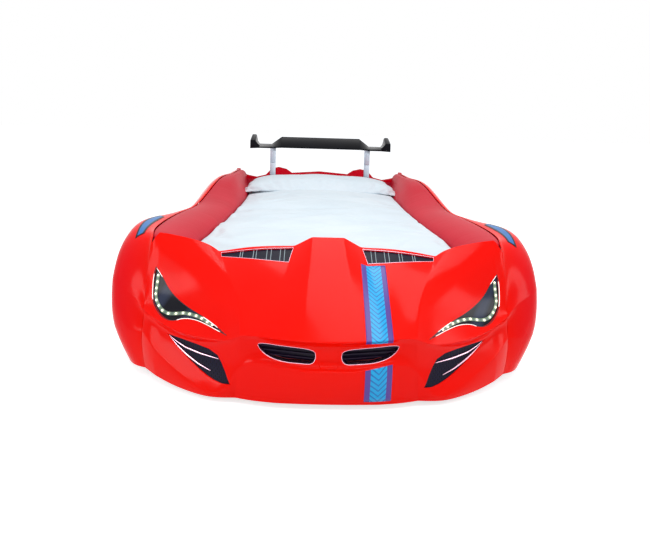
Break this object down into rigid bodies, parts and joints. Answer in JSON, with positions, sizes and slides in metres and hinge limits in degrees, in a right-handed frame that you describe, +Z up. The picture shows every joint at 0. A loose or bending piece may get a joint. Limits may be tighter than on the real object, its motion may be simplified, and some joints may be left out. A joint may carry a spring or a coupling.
{
  "type": "children's car bed",
  "caption": "Single bed shaped like a racing car: moulded skins over a boarded slatted base, padded sides, bedding, ring-lit headlights and a rear wing.",
  "frame": {"origin": "on the floor under the middle of the bed's length and width", "axes": "+Z up, -Y towards the nose of the car, +X towards the right side as seen from in front of the nose"},
  "size_m": [1.348, 2.245, 0.702],
  "materials": {
    "body_red": "high gloss",
    "board": "melamine faced board, satin",
    "timber": "planed pine, matt",
    "steel": "zinc plated",
    "black_rubber": "matt",
    "ticking": "woven ticking",
    "bedding": "plain woven cotton, white",
    "pad_red": "padded leatherette, satin",
    "gloss_black": "high gloss",
    "aluminium": "satin anodised",
    "bright_trim": "bright",
    "dark_mesh": "moulded, satin",
    "strip": "white flexible strip",
    "lens": "domed diode lens",
    "vent_blue": "gloss",
    "tyre": "matt",
    "rim": "silver lacquer",
    "black_plastic": "moulded"
  },
  "bodies": {
    "root": {"arch_liners_front": "black_plastic", "arch_liners_rear": "black_plastic", "badge_tab": "body_red", "board_bolts": "steel", "bonnet_ribs": "board", "bonnet_vent_left": "gloss_black", "bonnet_vent_right": "gloss_black", "bumper_rail": "board", "centre_beam": "timber", "centre_legs": "timber", "control_box": "black_plastic", "corner_brackets": "steel", "dc_inlet": "black_plastic", "duvet": "bedding", "feet": "black_rubber", "fender_vent_left": "vent_blue", "fender_vent_right": "vent_blue", "foot_board": "board", "front_shell": "body_red", "head_board": "board", "headlight_pan_left": "gloss_black", "headlight_pan_right": "gloss_black", "headlight_trim_left": "bright_trim", "headlight_trim_right": "bright_trim", "hub_caps": "rim", "intake_blades_left": "bright_trim", "intake_blades_right": "bright_trim", "intake_mesh_left": "dark_mesh", "intake_mesh_right": "dark_mesh", "led_strip_left": "strip", "led_strip_right": "strip", "leds_left": "lens", "leds_right": "lens", "mattress": "ticking", "nostril_mesh_left": "dark_mesh", "nostril_mesh_right": "dark_mesh", "nostril_trim_left": "bright_trim", "nostril_trim_right": "bright_trim", "pillow": "bedding", "post_feet": "aluminium", "post_screws": "steel", "rear_skin": "body_red", "rims_front": "rim", "rims_rear": "rim", "side_board_left": "board", "side_board_right": "board", "side_pad_left": "pad_red", "side_pad_right": "pad_red", "side_skin_left": "body_red", "side_skin_right": "body_red", "skin_spacers": "board", "slat_rails": "timber", "slats": "timber", "spoiler_wing": "gloss_black", "tyres_front": "tyre", "tyres_rear": "tyre", "wheel_bolts": "steel", "wheel_mounts": "black_plastic", "wing_post_left": "aluminium", "wing_post_right": "aluminium"},
    "rocker": {"rocker_switch": "black_plastic"}
  },
  "joints": [
    {"name": "rocker_tip", "type": "hinge", "parent": "root", "child": "rocker", "pos_m": [0.3845, 1.1142, 0.3], "axis": [1, 0, 0], "range_deg": [-16, 0]}
  ]
}
